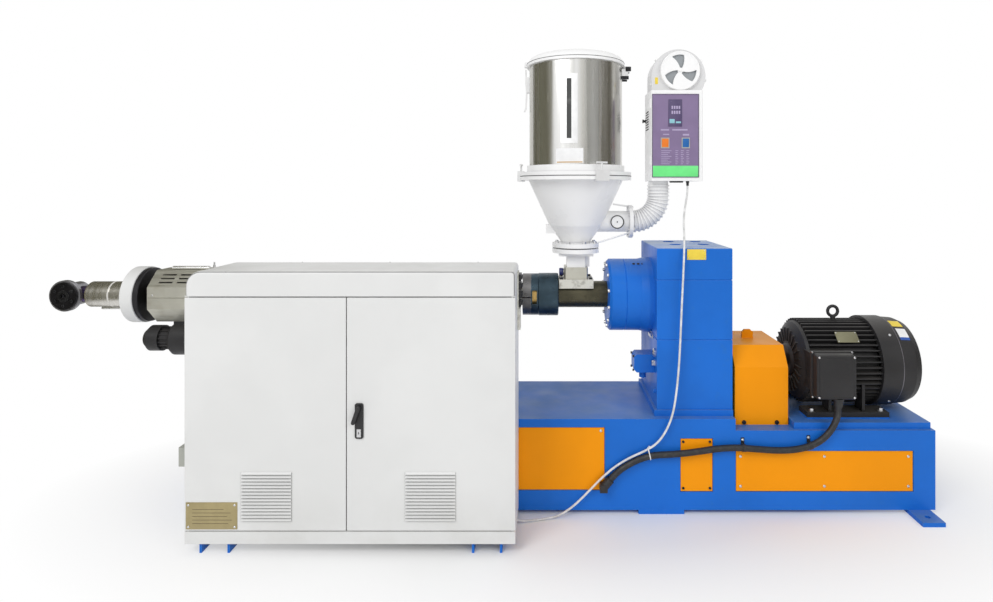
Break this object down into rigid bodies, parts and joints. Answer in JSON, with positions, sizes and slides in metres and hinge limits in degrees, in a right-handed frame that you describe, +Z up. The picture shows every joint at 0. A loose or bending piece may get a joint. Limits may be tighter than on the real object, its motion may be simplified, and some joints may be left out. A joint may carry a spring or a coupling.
{
  "type": "plastic extruder",
  "caption": "Single-screw plastic extruder on a box base, with gearbox, finned motor, hopper dryer, control cabinet and side-fed die head.",
  "frame": {"origin": "on the floor under the feed throat, at the middle of the anchor bolts", "axes": "+X along the screw from the die head to the motor, +Y to the back, +Z up"},
  "size_m": [4.4048, 1.022, 2.2655],
  "materials": {
    "blue_paint": "semi-gloss enamel",
    "orange_paint": "semi-gloss enamel",
    "white_paint": "powder coat",
    "hopper_white": "gloss powder coat",
    "polished_steel": "polished sheet",
    "fittings_steel": "zinc plated",
    "cover_steel": "brushed stainless sheet",
    "dark_steel": "oiled, blackened",
    "saddle_paint": "cream enamel",
    "stand_paint": "semi-gloss enamel",
    "brass": "machined",
    "charcoal": "satin enamel",
    "sight_glass": "clear",
    "purple_panel": "printed film",
    "black_plastic": "moulded",
    "grey_box": "moulded",
    "black_cable": "sheath",
    "white_cable": "sheath"
  },
  "bodies": {
    "root": {"base_frame": "blue_paint", "base_feet": "blue_paint", "motor_slide_plate": "blue_paint", "gearbox_housing": "blue_paint", "gearbox_cover": "blue_paint", "thrust_housing": "blue_paint", "oil_pump": "blue_paint", "base_panel_left": "orange_paint", "base_panel_middle": "orange_paint", "base_panel_right": "orange_paint", "coupling_guard": "orange_paint", "cabinet_back": "white_paint", "cabinet_sides": "white_paint", "cabinet_plinth": "white_paint", "cabinet_hood": "white_paint", "head_clamp": "white_paint", "hopper_ring": "hopper_white", "hopper_cone": "hopper_white", "cone_hatch": "hopper_white", "air_inlet": "hopper_white", "air_elbow": "hopper_white", "heater_box": "hopper_white", "blower_housing": "hopper_white", "blower_inlet": "hopper_white", "throat_chute": "hopper_white", "hopper_barrel": "polished_steel", "hopper_hinge": "fittings_steel", "hopper_clamps": "fittings_steel", "hopper_sight_frame": "fittings_steel", "motor_eyebolt": "fittings_steel", "door_hinge_pins": "fittings_steel", "sensor_tubes": "fittings_steel", "barrel_cover": "cover_steel", "throat_slide_box": "cover_steel", "head_adapter": "cover_steel", "crosshead_body": "cover_steel", "barrel_end_clamp": "cover_steel", "feed_barrel": "dark_steel", "screw_barrel": "dark_steel", "barrel_ring_nut": "dark_steel", "head_flange": "dark_steel", "crosshead_face": "dark_steel", "throat_saddle": "saddle_paint", "barrel_stands": "stand_paint", "brass_bush": "brass", "motor_body": "charcoal", "motor_cowl": "charcoal", "terminal_box": "charcoal", "cooling_fan": "charcoal", "hopper_sight_glass": "sight_glass", "heater_panel": "purple_panel", "cable_glands": "black_plastic", "cabinet_side_box": "grey_box", "motor_cable": "black_cable", "heater_cable": "white_cable"},
    "left_door": {"left_door": "white_paint"},
    "right_door": {"right_door": "white_paint", "handle_plate": "black_plastic"},
    "door_handle": {"door_handle": "black_plastic"},
    "hopper_lid": {"hopper_lid": "hopper_white"}
  },
  "joints": [
    {"name": "left_door_hinge", "type": "hinge", "parent": "root", "child": "left_door", "pos_m": [-1.674, -0.593, 0.595], "axis": [0, 0, -1], "range_deg": [0, 110]},
    {"name": "right_door_hinge", "type": "hinge", "parent": "root", "child": "right_door", "pos_m": [-0.298, -0.593, 0.595], "axis": [0, 0, 1], "range_deg": [0, 110]},
    {"name": "handle_turn", "type": "hinge", "parent": "right_door", "child": "door_handle", "pos_m": [-0.946, -0.607, 0.625], "axis": [0, 1, 0], "range_deg": [-19, 71]},
    {"name": "lid_hinge", "type": "hinge", "parent": "root", "child": "hopper_lid", "pos_m": [0.272, 0, 2.171], "axis": [0, 1, 0], "range_deg": [0, 90]}
  ]
}
